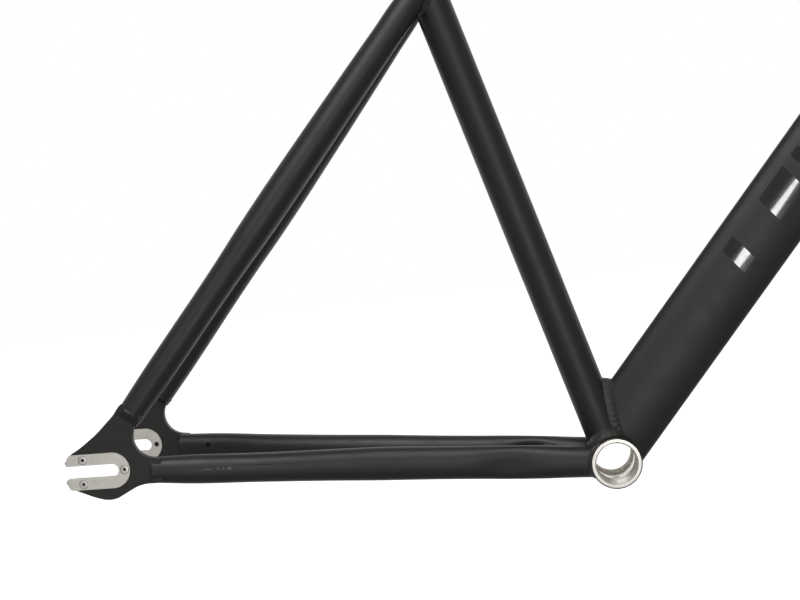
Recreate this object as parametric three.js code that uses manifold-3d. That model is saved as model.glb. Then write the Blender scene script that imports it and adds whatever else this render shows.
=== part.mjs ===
// Aluminium track bicycle frame, bare: no fork, crankset, wheels or seatpost.
// Millimetres, +X forward, +Y to the left side, +Z up. The origin is the centre of the bottom bracket shell.
import * as THREE from 'three';
import { mergeVertices } from 'three/addons/utils/BufferGeometryUtils.js';
import Module from 'manifold-3d';

const wasm = await Module();
wasm.setup();

// ---------------------------------------------------------------- driving dimensions
const GAP = 0.3;                       // air between two pieces that touch on the real frame
const WELD = 4.6;                      // leg of a weld bead on the main tubes
const STAY_WELD = 3.2;                 // leg of a weld bead at the stays' front ends
const SMALL_WELD = 2;                  // leg of a weld bead on the bridges and the track ends

const BB_WIDTH = 68;                   // threaded shell, 68 mm wide
const BB_RADIUS = 21.5;
const BB_FACE_RADIUS = 20.7;           // bare machined ring at each end
const BB_THREAD_RADIUS = 16.9;
const BB_THREAD_DEPTH = 25;
const BB_RELIEF_RADIUS = 17.6;
const DRAIN_RADIUS = 3;

const SEAT_ANGLE = 75.2;
const SEAT_TUBE_RADIUS = 15.9;
const SEATPOST_RADIUS = 13.6;          // 27.2 mm seatpost
const SEAT_TUBE_LENGTH = 510;

const DOWN_ANGLE = 48.1;
const DOWN_OFFSET = 9;                 // the tube's axis passes this far above the shell's axis
const DOWN_HALF_HEIGHT = 31.2;
const DOWN_HALF_WIDTH = 11.8;
const DOWN_START = 19.5;               // along the tube's axis, where its rear end starts beside the shell
const DOWN_LEAN = 0.24;                // how far that end is slanted

const HEAD_ANGLE = 74;
const HEAD_FOOT = [424.3, 407.5];       // X, Z of the lower end of the head tube's axis
const HEAD_LENGTH = 138;
const HEAD_RADIUS = 24.5;
const HEAD_WAIST_RADIUS = 23;
const HEADSET_RADIUS = 20.9;           // 41.8 mm integrated headset seats
const STEERER_ROOM_RADIUS = 18.5;

const TOP_ON_SEAT = 470;               // along the seat tube
const TOP_ON_HEAD = 112;               // along the head tube, from its foot
const TOP_HALF_HEIGHT = 18.5;
const TOP_HALF_WIDTH = 15.5;
const TOP_SQUARE = 2.2;                // power of the superellipse; 2 is an ellipse
const STAY_SQUARE = 2.2;

const STAY_DROP = 0.1177;              // the chainstay's axis falls by this towards the shell
const TUBE_WALL = 1.8;
const STAY_WALL = 1.7;
const VENT_BACK = 355.6;               // vent hole in each chainstay's inner face, behind the shell's axis
const VENT_RADIUS = 2;
const BRIDGE_RADIUS = 7;
const BRIDGE_WALL = 1.5;
const CHAINSTAY_BRIDGE_BACK = 54;      // behind the shell's axis
const SEATSTAY_BRIDGE_ALONG = 312;     // up the seatstays from their lower ends
const SLOT_TILT = 2.8;                 // the axle slots rise by this towards the rear
const SLOT_END = [-415, 49.6];         // X, Z of the centre of the slot's round end
const SLOT_HALF_WIDTH = 5.4;
const SLOT_LENGTH = 38.6;              // from that centre to the open end

const DROPOUT_INSIDE = 60;             // half of the 120 mm hub spacing
const DROPOUT_THICKNESS = 7;
const INSERT_THICKNESS = 1.6;
const INSERT_HALF_HEIGHT = 14.9;
const SCREW_HEAD_RADIUS = 3.4;
const SCREW_SHANK_RADIUS = 1.9;

const COLLAR_AT = 498;                 // lower face of the seat collar, along the seat tube
const COLLAR_HEIGHT = 13;
const COLLAR_RADIUS = 19.6;
const COLLAR_SLIT = 2.6;
const CLAMP_AT = 24.5;                 // clamp bolt's axis, from the seat tube's axis
const BOLT_RADIUS = 2.5;

const ROUND_SIDES = 24;
const STAY_SIDES = 16;
const SMALL_SIDES = 10;
const TURNED_SIDES = 32;

const SIDES = [['right', -1], ['left', 1]];
const X_AXIS = new THREE.Vector3(1, 0, 0);
const Y_AXIS = new THREE.Vector3(0, 1, 0);

// ---------------------------------------------------------------- materials
const paint = () => new THREE.MeshStandardMaterial({ color: 0x1e1e1f, roughness: 0.55, metalness: 0 });
const bareAluminium = () => new THREE.MeshStandardMaterial({ color: 0xd8d6d2, roughness: 0.35, metalness: 1 });
const stainless = () => new THREE.MeshStandardMaterial({ color: 0xbdb6ac, roughness: 0.4, metalness: 1 });
const blackSteel = () => new THREE.MeshStandardMaterial({ color: 0x2a2a2c, roughness: 0.45, metalness: 1 });

// ---------------------------------------------------------------- solids
function toSolid(geometry) {
  const bare = geometry.clone();
  bare.deleteAttribute('normal');
  bare.deleteAttribute('uv');
  const merged = mergeVertices(bare, 1e-4);
  const vertProperties = new Float32Array(merged.attributes.position.array);
  const triVerts = new Uint32Array(merged.index.array);
  return new wasm.Manifold(new wasm.Mesh({ numProp: 3, vertProperties, triVerts }));
}

function toGeometry(solid) {
  const mesh = solid.getMesh();
  const geometry = new THREE.BufferGeometry();
  geometry.setAttribute('position', new THREE.BufferAttribute(new Float32Array(mesh.vertProperties), 3));
  geometry.setIndex(new THREE.BufferAttribute(new Uint32Array(mesh.triVerts), 1));
  const flat = geometry.toNonIndexed();
  flat.computeVertexNormals();
  return flat;
}

// The largest separate body of a solid.
function mainBody(solid) {
  const bodies = solid.decompose();
  return bodies.reduce((best, body) => (body.volume() > best.volume() ? body : best));
}

function without(solid, ...cutters) {
  return cutters.reduce((rest, cutter) => rest.subtract(cutter), solid);
}

// A closed skin through rings of points that turn about the direction from the first ring to the last.
function skin(rings) {
  const sides = rings[0].length;
  const last = rings.length - 1;
  const points = rings.flat();
  const index = [];
  const corner = (ring, side) => ring * sides + (side % sides);
  for (let ring = 0; ring < last; ring += 1) {
    for (let side = 0; side < sides; side += 1) {
      const [a, b] = [corner(ring, side), corner(ring, side + 1)];
      const [c, d] = [corner(ring + 1, side + 1), corner(ring + 1, side)];
      index.push(a, b, c, a, c, d);
    }
  }
  for (let side = 1; side < sides - 1; side += 1) {
    index.push(corner(0, 0), corner(0, side + 1), corner(0, side));
    index.push(corner(last, 0), corner(last, side), corner(last, side + 1));
  }
  const geometry = new THREE.BufferGeometry();
  geometry.setAttribute('position', new THREE.Float32BufferAttribute(points.flatMap((p) => p.toArray()), 3));
  geometry.setIndex(index);
  return toSolid(geometry);
}

// ---------------------------------------------------------------- tubes
// A station is one cross-section of a tube: its centre, the tube's direction there, half its height and
// half its width, how square it is (2 is an ellipse), and lean, which slants the section's plane.
function ring(station, grow, sides) {
  const { centre, along, high, wide, square = 2, lean = 0 } = station;
  const sideways = Math.abs(along.y) > 0.9 ? X_AXIS : Y_AXIS;
  const across = sideways.clone().projectOnPlane(along).normalize();
  const upright = across.clone().cross(along);
  const bulge = (value) => Math.sign(value) * Math.abs(value) ** (2 / square);
  return Array.from({ length: sides }, (_, side) => {
    const angle = (2 * Math.PI * (side + 0.5)) / sides;
    const up = (high + grow) * bulge(Math.cos(angle));
    const out = (wide + grow) * bulge(Math.sin(angle));
    return centre.clone()
      .addScaledVector(upright, up)
      .addScaledVector(across, out)
      .addScaledVector(along, -lean * up);
  });
}

// A solid of the tube's outer shape, larger all round by grow, and longer at both ends by overrun.
function tubeBody(tube, grow = 0, overrun = 0) {
  const stations = tube.stations.map((station) => ({ ...station, centre: station.centre.clone() }));
  const first = stations[0];
  const last = stations[stations.length - 1];
  first.centre.addScaledVector(first.along, -overrun);
  last.centre.addScaledVector(last.along, overrun);
  return skin(stations.map((station) => ring(station, grow, tube.sides)));
}

function hollow(tube, ...cutters) {
  const bore = tubeBody({ ...tube, stations: tube.boreStations ?? tube.stations }, -tube.wall, 2);
  return mainBody(without(tubeBody(tube), bore, ...cutters));
}

function inPlane(degrees) {
  const angle = THREE.MathUtils.degToRad(degrees);
  return new THREE.Vector3(Math.cos(angle), 0, Math.sin(angle));
}

function straightTube({ from, to, high, wide, square, wall, sides = ROUND_SIDES, leanFrom = 0 }) {
  const along = to.clone().sub(from).normalize();
  const shape = { along, high, wide, square };
  return { stations: [{ ...shape, centre: from, lean: leanFrom }, { ...shape, centre: to }], wall, sides };
}

function cylinderAlong(from, to, radius, sides = SMALL_SIDES) {
  return tubeBody(straightTube({ from, to, high: radius, wide: radius, sides }));
}

// The direction of each station is the chord between its neighbours.
function withDirections(stations) {
  return stations.map((station, i) => {
    const before = stations[Math.max(i - 1, 0)].centre;
    const after = stations[Math.min(i + 1, stations.length - 1)].centre;
    return { ...station, along: after.clone().sub(before).normalize() };
  });
}

const seatDirection = inPlane(180 - SEAT_ANGLE);
const onSeatTube = (distance) => seatDirection.clone().multiplyScalar(distance);
const headDirection = inPlane(180 - HEAD_ANGLE);
const headFoot = new THREE.Vector3(HEAD_FOOT[0], 0, HEAD_FOOT[1]);
const onHeadTube = (distance) => headFoot.clone().addScaledVector(headDirection, distance);

const seatTube = straightTube({
  from: onSeatTube(0), to: onSeatTube(SEAT_TUBE_LENGTH),
  high: SEAT_TUBE_RADIUS, wide: SEAT_TUBE_RADIUS, wall: SEAT_TUBE_RADIUS - SEATPOST_RADIUS,
});

const headTube = straightTube({
  from: onHeadTube(0), to: onHeadTube(HEAD_LENGTH), high: HEAD_RADIUS, wide: HEAD_RADIUS,
});

// The down tube's rear end is slanted, from the front of the shell up to the seat tube's axis.
function makeDownTube() {
  const direction = inPlane(DOWN_ANGLE);
  const upwards = inPlane(DOWN_ANGLE + 90);
  const start = upwards.clone().multiplyScalar(DOWN_OFFSET).addScaledVector(direction, DOWN_START);
  const reach = onHeadTube(0).dot(direction) + 27;
  const end = upwards.clone().multiplyScalar(DOWN_OFFSET).addScaledVector(direction, reach);
  return straightTube({
    from: start, to: end, high: DOWN_HALF_HEIGHT, wide: DOWN_HALF_WIDTH, wall: TUBE_WALL, leanFrom: DOWN_LEAN,
  });
}
const downTube = makeDownTube();

const topTube = straightTube({
  from: onSeatTube(TOP_ON_SEAT), to: onHeadTube(TOP_ON_HEAD),
  high: TOP_HALF_HEIGHT, wide: TOP_HALF_WIDTH, square: TOP_SQUARE, wall: TUBE_WALL,
});

// Rows: distance of the section behind the shell's axis, of its centre from the mid-plane,
// half its height, half its width.
const CHAINSTAY_ROWS = [
  [0, 23.6, 13, 9.6],
  [33, 24.5, 13.3, 9.4],
  [60, 25.3, 14, 8.8],
  [88, 26.4, 14.2, 8.4],
  [118, 27.3, 14, 8.8],
  [150, 28.5, 14, 9.2],
  [198, 32.5, 14.1, 9.6],
  [235, 38, 13.3, 9.8],
  [298, 49, 12.2, 9.8],
  [352, 56.8, 12, 9.3],
  [382, 60, 10.8, 8.4],
];

function makeChainstay(side) {
  const stations = CHAINSTAY_ROWS.map(([back, out, high, wide]) => ({
    centre: new THREE.Vector3(-back, side * out, back * STAY_DROP),
    high,
    wide,
    square: STAY_SQUARE,
  }));
  return { stations: withDirections(stations).reverse().map(turnedForward), wall: STAY_WALL, sides: STAY_SIDES };
}

// A stay's sections run from the dropout forward.
function turnedForward(station) {
  return { ...station, along: station.along.clone().negate() };
}

// Rows: distance along the stay from its lower end, half its height, half its width.
const SEATSTAY_ROWS = [
  [0, 11, 11],
  [30, 11.7, 11.7],
  [60, 11.9, 11.9],
  [108, 11.9, 11.9],
  [142, 12.4, 12.4],
  [175, 13.4, 13.4],
  [208, 13.8, 13.8],
  [260, 13.6, 13.4],
  [322, 13, 12.4],
  [370, 12.3, 11.2],
  [412, 11.2, 9.6],
  [422, 9.6, 8.2],
  [427, 6.4, 5.4],
];
const SEATSTAY_FOOT = [-391.7, 58.5, 97.2];
const SEATSTAY_HEAD = [-109.4, 14.6, 419];

function makeSeatstay(side) {
  const foot = new THREE.Vector3(SEATSTAY_FOOT[0], side * SEATSTAY_FOOT[1], SEATSTAY_FOOT[2]);
  const head = new THREE.Vector3(SEATSTAY_HEAD[0], side * SEATSTAY_HEAD[1], SEATSTAY_HEAD[2]);
  const along = head.clone().sub(foot).normalize();
  const stations = SEATSTAY_ROWS.map(([distance, high, wide]) => ({
    centre: foot.clone().addScaledVector(along, distance),
    along,
    high,
    wide,
  }));
  return { stations, boreStations: stations.slice(0, -3), wall: STAY_WALL, sides: STAY_SIDES };
}

const chainstays = { right: makeChainstay(-1), left: makeChainstay(1) };
const seatstays = { right: makeSeatstay(-1), left: makeSeatstay(1) };

function makeBridge(from, to) {
  return straightTube({ from, to, high: BRIDGE_RADIUS, wide: BRIDGE_RADIUS, wall: BRIDGE_WALL, sides: SMALL_SIDES });
}

function onSeatstay(name, distance) {
  const { centre, along } = seatstays[name].stations[0];
  return centre.clone().addScaledVector(along, distance);
}

const bridgeEnd = new THREE.Vector3(-CHAINSTAY_BRIDGE_BACK, 25, CHAINSTAY_BRIDGE_BACK * STAY_DROP);
const chainstayBridge = makeBridge(bridgeEnd.clone().setY(-bridgeEnd.y), bridgeEnd);
const seatstayBridge = makeBridge(
  onSeatstay('right', SEATSTAY_BRIDGE_ALONG), onSeatstay('left', SEATSTAY_BRIDGE_ALONG),
);

// ---------------------------------------------------------------- bottom bracket shell and head tube
// A solid of revolution about the Y axis through [radius, y] points that close on themselves.
function turned(profile) {
  const points = [...profile, profile[0]].map(([radius, y]) => new THREE.Vector2(radius, y));
  return toSolid(new THREE.LatheGeometry(points, TURNED_SIDES));
}

function makeShell() {
  const half = BB_WIDTH / 2;
  const step = 1.5;
  const outside = [
    [BB_FACE_RADIUS, -half], [BB_RADIUS, -half + step], [BB_RADIUS, half - step], [BB_FACE_RADIUS, half],
  ];
  const threadEnd = half - BB_THREAD_DEPTH;
  const inside = [
    [BB_THREAD_RADIUS + 0.9, half], [BB_THREAD_RADIUS, half - 1], [BB_THREAD_RADIUS, threadEnd],
    [BB_RELIEF_RADIUS, threadEnd - 0.8], [BB_RELIEF_RADIUS, -threadEnd + 0.8], [BB_THREAD_RADIUS, -threadEnd],
    [BB_THREAD_RADIUS, -half + 1], [BB_THREAD_RADIUS + 0.9, -half],
  ];
  const drain = cylinderAlong(new THREE.Vector3(0, 0, -30), new THREE.Vector3(0, 0, -10), DRAIN_RADIUS);
  return turned([...outside, ...inside]).subtract(drain);
}

function makeHeadTube() {
  const seat = 12;
  const middle = HEAD_LENGTH / 2;
  const profile = [
    [HEAD_RADIUS, 0], [HEAD_RADIUS, 14], [HEAD_WAIST_RADIUS, middle - 20], [HEAD_WAIST_RADIUS, middle + 20],
    [HEAD_RADIUS, HEAD_LENGTH - 14], [HEAD_RADIUS, HEAD_LENGTH], [HEADSET_RADIUS, HEAD_LENGTH],
    [HEADSET_RADIUS, HEAD_LENGTH - seat], [STEERER_ROOM_RADIUS, HEAD_LENGTH - seat - 2.4],
    [STEERER_ROOM_RADIUS, seat + 2.4], [HEADSET_RADIUS, seat], [HEADSET_RADIUS, 0],
  ];
  return turned(profile);
}

// ---------------------------------------------------------------- track ends
const slotDirection = inPlane(180 - SLOT_TILT);
const slotRise = inPlane(90 - SLOT_TILT);

// A point of the side view, from distances along the slot towards its open end and square to it, upwards.
function fromSlot(along, up) {
  return [
    SLOT_END[0] + along * slotDirection.x + up * slotRise.x,
    SLOT_END[1] + along * slotDirection.z + up * slotRise.z,
  ];
}

// A plate with a side-view outline of X, Z points, from the mid-plane distance `from` to `to`.
function plate(shape, from, to) {
  const geometry = new THREE.ExtrudeGeometry(shape, { depth: to - from, bevelEnabled: false, curveSegments: 9 });
  geometry.rotateX(Math.PI / 2);
  geometry.translate(0, to, 0);
  return toSolid(geometry);
}

function onSide(side, low, high) {
  return side > 0 ? [low, high] : [-high, -low];
}

// The two arms around the axle slot, joined by a round end: the slot's end and the plate's end share a centre.
function insertShape(grow) {
  const outer = INSERT_HALF_HEIGHT + grow;
  const inner = SLOT_HALF_WIDTH - grow;
  const open = SLOT_LENGTH + grow;
  const turn = THREE.MathUtils.degToRad(SLOT_TILT);
  const shape = new THREE.Shape();
  shape.moveTo(...fromSlot(open, inner));
  shape.lineTo(...fromSlot(open, inner + 2));
  shape.lineTo(...fromSlot(open - 4.5, outer));
  shape.lineTo(...fromSlot(0, outer));
  shape.absarc(...SLOT_END, outer, Math.PI / 2 - turn, -Math.PI / 2 - turn, true);
  shape.lineTo(...fromSlot(open - 4.5, -outer));
  shape.lineTo(...fromSlot(open, -inner - 2));
  shape.lineTo(...fromSlot(open, -inner));
  shape.lineTo(...fromSlot(0, -inner));
  shape.absarc(...SLOT_END, inner, -Math.PI / 2 - turn, Math.PI / 2 - turn, false);
  return shape;
}

const FRONT_ARC = { centre: [-376.6, 73.8], radius: 18.1, from: 140, to: 258 };

function dropoutShape() {
  const turn = THREE.MathUtils.degToRad(SLOT_TILT);
  const slotHalf = SLOT_HALF_WIDTH + 0.6;
  const open = SLOT_LENGTH + 0.8;
  const shape = new THREE.Shape();
  shape.moveTo(-386, 98.5);
  shape.lineTo(-399.6, 104.6);
  shape.lineTo(-404.8, 99.2);
  shape.lineTo(-406.8, 95.4);
  shape.lineTo(-424.7, 80.6);
  shape.lineTo(-440.3, 70.4);
  shape.lineTo(-449.2, 66.2);
  shape.lineTo(...fromSlot(open, slotHalf + 2.6));
  shape.lineTo(...fromSlot(open, slotHalf));
  shape.lineTo(...fromSlot(0, slotHalf));
  shape.absarc(...SLOT_END, slotHalf, Math.PI / 2 - turn, -Math.PI / 2 - turn, true);
  shape.lineTo(...fromSlot(open, -slotHalf));
  shape.lineTo(...fromSlot(open, -slotHalf - 2.6));
  shape.lineTo(-449.4, 37.2);
  shape.lineTo(-432.3, 28.6);
  shape.quadraticCurveTo(-424, 25, -415.2, 25.4);
  shape.lineTo(-395.5, 34);
  shape.lineTo(-388, 35.2);
  shape.lineTo(-374, 34.4);
  shape.lineTo(-374, 55);
  const { centre, radius, from, to } = FRONT_ARC;
  shape.absarc(...centre, radius, THREE.MathUtils.degToRad(to), THREE.MathUtils.degToRad(from), true);
  shape.lineTo(-385, 91);
  return shape;
}

// Positions of the three insert screws, from the slot's end.
const SCREW_PLACES = [
  ['upper', 24.2, 9.9],
  ['lower', 25, -10.2],
  ['front', -10.2, 0],
];

function screwHole(along, up, radius) {
  const [x, z] = fromSlot(along, up);
  return cylinderAlong(new THREE.Vector3(x, -80, z), new THREE.Vector3(x, 80, z), radius);
}

const holes = (radius) => SCREW_PLACES.map(([, along, up]) => screwHole(along, up, radius));

function makeDropout(side) {
  const name = side < 0 ? 'right' : 'left';
  const inner = DROPOUT_INSIDE;
  const outer = DROPOUT_INSIDE + DROPOUT_THICKNESS;
  const recess = insertShape(GAP);
  const floor = INSERT_THICKNESS + GAP;
  return mainBody(without(
    plate(dropoutShape(), ...onSide(side, inner, outer)),
    plate(recess, ...onSide(side, inner - 1, inner + floor)),
    plate(recess, ...onSide(side, outer - floor, outer + 1)),
    ...holes(SCREW_SHANK_RADIUS + GAP),
    tubeBody(seatstays[name], GAP, 1),
    tubeBody(chainstays[name], GAP, 0.6),
  ));
}

function makeInsert(side, place) {
  const outer = DROPOUT_INSIDE + DROPOUT_THICKNESS;
  const thick = INSERT_THICKNESS;
  const range = place === 'outer' ? [outer - thick, outer] : [DROPOUT_INSIDE, DROPOUT_INSIDE + thick];
  const radius = place === 'outer' ? SCREW_HEAD_RADIUS : SCREW_SHANK_RADIUS;
  return without(plate(insertShape(0), ...onSide(side, ...range)), ...holes(radius + GAP));
}

// A hex-socket screw that lies flush in the outer insert and runs through to the inner one.
function makeScrew(side, along, up) {
  const head = DROPOUT_INSIDE + DROPOUT_THICKNESS - 0.1;
  const under = head - INSERT_THICKNESS + 0.4;
  const socket = under + 0.3;
  const end = DROPOUT_INSIDE + 0.4;
  const profile = [
    [0, end], [SCREW_SHANK_RADIUS, end], [SCREW_SHANK_RADIUS, under], [SCREW_HEAD_RADIUS, under],
    [SCREW_HEAD_RADIUS, head], [1.6, head], [1.6, socket], [0, socket],
  ];
  const points = profile.map(([radius, y]) => new THREE.Vector2(radius, y));
  const geometry = new THREE.LatheGeometry(points, SMALL_SIDES);
  if (side < 0) {
    geometry.rotateX(Math.PI);
  }
  const [x, z] = fromSlot(along, up);
  geometry.translate(x, 0, z);
  return geometry;
}

// ---------------------------------------------------------------- seat collar
function makeCollar() {
  const half = COLLAR_SLIT / 2;
  const ear = 6;
  const outline = new THREE.Shape();
  const start = Math.asin((ear + half) / COLLAR_RADIUS);
  outline.absarc(0, 0, COLLAR_RADIUS, start, 2 * Math.PI - start, false);
  outline.lineTo(CLAMP_AT + 5, -half - ear);
  outline.lineTo(CLAMP_AT + 5, -half);
  const bore = SEAT_TUBE_RADIUS + GAP;
  const open = Math.asin(half / bore);
  outline.lineTo(bore * Math.cos(open), -half);
  outline.absarc(0, 0, bore, 2 * Math.PI - open, open, true);
  outline.lineTo(CLAMP_AT + 5, half);
  outline.lineTo(CLAMP_AT + 5, half + ear);
  const geometry = new THREE.ExtrudeGeometry(outline, {
    depth: COLLAR_HEIGHT, bevelEnabled: false, curveSegments: 18,
  });
  const middle = COLLAR_HEIGHT / 2;
  const boltHole = cylinderAlong(
    new THREE.Vector3(CLAMP_AT, -12, middle), new THREE.Vector3(CLAMP_AT, 12, middle), BOLT_RADIUS + GAP,
  );
  return toGeometry(toSolid(geometry).subtract(boltHole));
}

function makeClampBolt() {
  const ear = 6 + COLLAR_SLIT / 2;
  const headBottom = ear + GAP;
  const headTop = headBottom + 4.6;
  const profile = [
    [0, -ear], [BOLT_RADIUS, -ear], [BOLT_RADIUS, headBottom], [4.3, headBottom], [4.3, headTop - 0.5],
    [3.8, headTop], [2, headTop], [2, headTop - 2.6], [0, headTop - 2.6],
  ];
  const points = profile.map(([radius, y]) => new THREE.Vector2(radius, y));
  return new THREE.LatheGeometry(points, SMALL_SIDES);
}

// ---------------------------------------------------------------- weld beads
// The bead fills the corner between two bodies: what lies within `leg` of both, outside both.
function bead(bodyA, bodyB, leg, ...clear) {
  return mainBody(without(bodyA(leg).intersect(bodyB(leg)), bodyA(GAP), bodyB(GAP), ...clear));
}

// The room that the shell takes up, as a solid bar that is larger in radius by grow.
function shellBody(grow) {
  const half = BB_WIDTH / 2 + GAP;
  const radius = BB_RADIUS + grow;
  return turned([[0, -half], [radius, -half], [radius, half], [0, half]]);
}

const seatBody = (grow) => tubeBody(seatTube, grow, grow);
const downBody = (grow) => tubeBody(downTube, grow, grow);
const topBody = (grow) => tubeBody(topTube, grow, grow);
const headBody = (grow) => tubeBody(headTube, grow, grow);
const chainstayBody = (name) => (grow) => tubeBody(chainstays[name], grow, Math.min(grow, 0.6));
const seatstayBody = (name) => (grow) => tubeBody(seatstays[name], grow, Math.min(grow, 1));
const chainstayBridgeBody = (grow) => tubeBody(chainstayBridge, grow);
const seatstayBridgeBody = (grow) => tubeBody(seatstayBridge, grow);

// The bead that closes a stay's rear end around the plate: a collar over the tube's first few millimetres.
function endBead(side, tube) {
  const first = tube.stations[0];
  const collar = (reach) => ({ ...first, centre: first.centre.clone().addScaledVector(first.along, reach) });
  const sleeve = tubeBody({ stations: [collar(-3.4), collar(3)], sides: STAY_SIDES }, SMALL_WELD);
  const [low, high] = onSide(side, DROPOUT_INSIDE - GAP, DROPOUT_INSIDE + DROPOUT_THICKNESS + GAP);
  const thickPlate = plate(dropoutShape(), low, high);
  const shifts = [[GAP, 0], [-GAP, 0], [0, GAP], [0, -GAP]];
  return mainBody(without(sleeve, tubeBody(tube, GAP), ...shifts.map(([x, z]) => thickPlate.translate([x, 0, z]))));
}

// ---------------------------------------------------------------- assembly
const frame = new THREE.Group();

function add(name, geometry, material, parent = frame) {
  const mesh = new THREE.Mesh(geometry, material);
  mesh.name = name;
  parent.add(mesh);
  return mesh;
}

// A group whose Z axis runs along a tube's direction in the mid-plane.
function groupAlong(origin, direction) {
  const group = new THREE.Group();
  group.position.copy(origin);
  group.quaternion.setFromUnitVectors(new THREE.Vector3(0, 0, 1), direction);
  frame.add(group);
  return group;
}

const headTubeSolid = makeHeadTube().rotate([90, 0, 0]).rotate([0, HEAD_ANGLE - 90, 0])
  .translate(headFoot.toArray());

function seatTubeSolid() {
  const slitFrom = onSeatTube(SEAT_TUBE_LENGTH - 32).add(new THREE.Vector3(-12, 0, 0));
  const slitTo = onSeatTube(SEAT_TUBE_LENGTH + 4).add(new THREE.Vector3(-12, 0, 0));
  const slit = tubeBody(straightTube({ from: slitFrom, to: slitTo, high: 8, wide: 1.1, square: 8, sides: 8 }));
  return hollow(seatTube, shellBody(GAP), slit);
}

function chainstaySolid(name, side) {
  const ventHeight = VENT_BACK * STAY_DROP + 3;
  const ventAt = (out) => new THREE.Vector3(-VENT_BACK, side * out, ventHeight);
  const vent = cylinderAlong(ventAt(30), ventAt(55), VENT_RADIUS);
  return hollow(chainstays[name], shellBody(GAP), seatBody(GAP), vent);
}

add('bb_shell', toGeometry(makeShell()), bareAluminium());
add('seat_tube', toGeometry(seatTubeSolid()), paint());
add('down_tube', toGeometry(hollow(downTube, shellBody(GAP), seatBody(GAP), headBody(GAP))), paint());
add('top_tube', toGeometry(hollow(topTube, seatBody(GAP), headBody(GAP))), paint());
add('head_tube', toGeometry(headTubeSolid), paint());

for (const [name, side] of SIDES) {
  add(`chainstay_${name}`, toGeometry(chainstaySolid(name, side)), paint());
  add(`seatstay_${name}`, toGeometry(hollow(seatstays[name], seatBody(GAP))), paint());
  add(`dropout_${name}`, toGeometry(makeDropout(side)), paint());
  add(`insert_outer_${name}`, toGeometry(makeInsert(side, 'outer')), stainless());
  add(`insert_inner_${name}`, toGeometry(makeInsert(side, 'inner')), stainless());
  for (const [place, along, up] of SCREW_PLACES) {
    add(`insert_screw_${place}_${name}`, makeScrew(side, along, up), stainless());
  }
}

const stayBodies = (...makers) => SIDES.map(([name]) => makers.map((maker) => maker(name)(GAP))).flat();
add('chainstay_bridge', toGeometry(hollow(chainstayBridge, ...stayBodies(chainstayBody))), paint());
add('seatstay_bridge', toGeometry(hollow(seatstayBridge, ...stayBodies(seatstayBody))), paint());

const collarGroup = groupAlong(onSeatTube(COLLAR_AT), seatDirection);
const collar = add('seat_collar', makeCollar(), blackSteel(), collarGroup);
collar.rotation.z = Math.PI;
const bolt = add('clamp_bolt', makeClampBolt(), stainless(), collarGroup);
bolt.position.set(-CLAMP_AT, 0, COLLAR_HEIGHT / 2);

// Beads are laid in this order; each keeps clear of the tubes and of the beads before it.
const clearOfShellBead = shellBody(WELD + GAP);
add('weld_shell_seat_tube', toGeometry(bead(shellBody, seatBody, WELD, downBody(WELD + GAP))), paint());
add('weld_shell_down_tube', toGeometry(bead(shellBody, downBody, WELD, seatBody(GAP))), paint());
add('weld_seat_down_tube', toGeometry(bead(seatBody, downBody, WELD, clearOfShellBead)), paint());
add('weld_seat_top_tube', toGeometry(bead(seatBody, topBody, WELD)), paint());
add('weld_head_top_tube', toGeometry(bead(headBody, topBody, WELD)), paint());
add('weld_head_down_tube', toGeometry(bead(headBody, downBody, WELD)), paint());

for (const [name, side] of SIDES) {
  const stay = chainstayBody(name);
  const upper = seatstayBody(name);
  const nearBeads = [seatBody(WELD + GAP), downBody(WELD + GAP)];
  add(`weld_shell_chainstay_${name}`, toGeometry(bead(shellBody, stay, STAY_WELD, ...nearBeads)), paint());
  add(`weld_seat_tube_seatstay_${name}`, toGeometry(bead(seatBody, upper, STAY_WELD, topBody(GAP))), paint());
  add(`weld_dropout_chainstay_${name}`, toGeometry(endBead(side, chainstays[name])), paint());
  add(`weld_dropout_seatstay_${name}`, toGeometry(endBead(side, seatstays[name])), paint());
  add(`weld_chainstay_bridge_${name}`, toGeometry(bead(chainstayBridgeBody, stay, SMALL_WELD)), paint());
  add(`weld_seatstay_bridge_${name}`, toGeometry(bead(seatstayBridgeBody, upper, SMALL_WELD)), paint());
}

export default frame;
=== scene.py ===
"""The looks of a bare aluminium track bicycle frame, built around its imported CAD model."""
import math

import bmesh
import bpy
import numpy as np
from mathutils import Matrix


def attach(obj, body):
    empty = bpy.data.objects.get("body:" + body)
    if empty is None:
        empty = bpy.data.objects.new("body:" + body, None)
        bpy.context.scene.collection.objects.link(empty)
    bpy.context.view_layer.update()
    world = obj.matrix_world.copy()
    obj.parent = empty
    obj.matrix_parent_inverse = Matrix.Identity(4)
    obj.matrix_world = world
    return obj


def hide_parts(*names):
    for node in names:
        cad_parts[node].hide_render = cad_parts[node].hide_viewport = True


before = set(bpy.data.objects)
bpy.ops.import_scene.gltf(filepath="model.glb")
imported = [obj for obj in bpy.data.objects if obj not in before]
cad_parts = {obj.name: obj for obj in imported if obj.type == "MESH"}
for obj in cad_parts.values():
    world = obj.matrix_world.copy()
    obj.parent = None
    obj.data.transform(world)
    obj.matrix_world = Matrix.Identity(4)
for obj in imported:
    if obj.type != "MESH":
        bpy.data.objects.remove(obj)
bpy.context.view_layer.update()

MM = 0.001
X_AXIS = np.array([1.0, 0, 0])
Y_AXIS = np.array([0, 1.0, 0])
SIDES = (("right", -1), ("left", 1))


def in_plane(degrees):
    """A direction in the mid-plane, measured up from forwards."""
    angle = math.radians(degrees)
    return np.array([math.cos(angle), 0, math.sin(angle)])


def unit(vectors):
    vectors = np.asarray(vectors, float)
    return vectors / np.linalg.norm(vectors, axis=-1, keepdims=True)


def around(sides):
    """Angles spaced evenly round a full turn."""
    return 2 * math.pi * np.arange(sides) / sides


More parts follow.
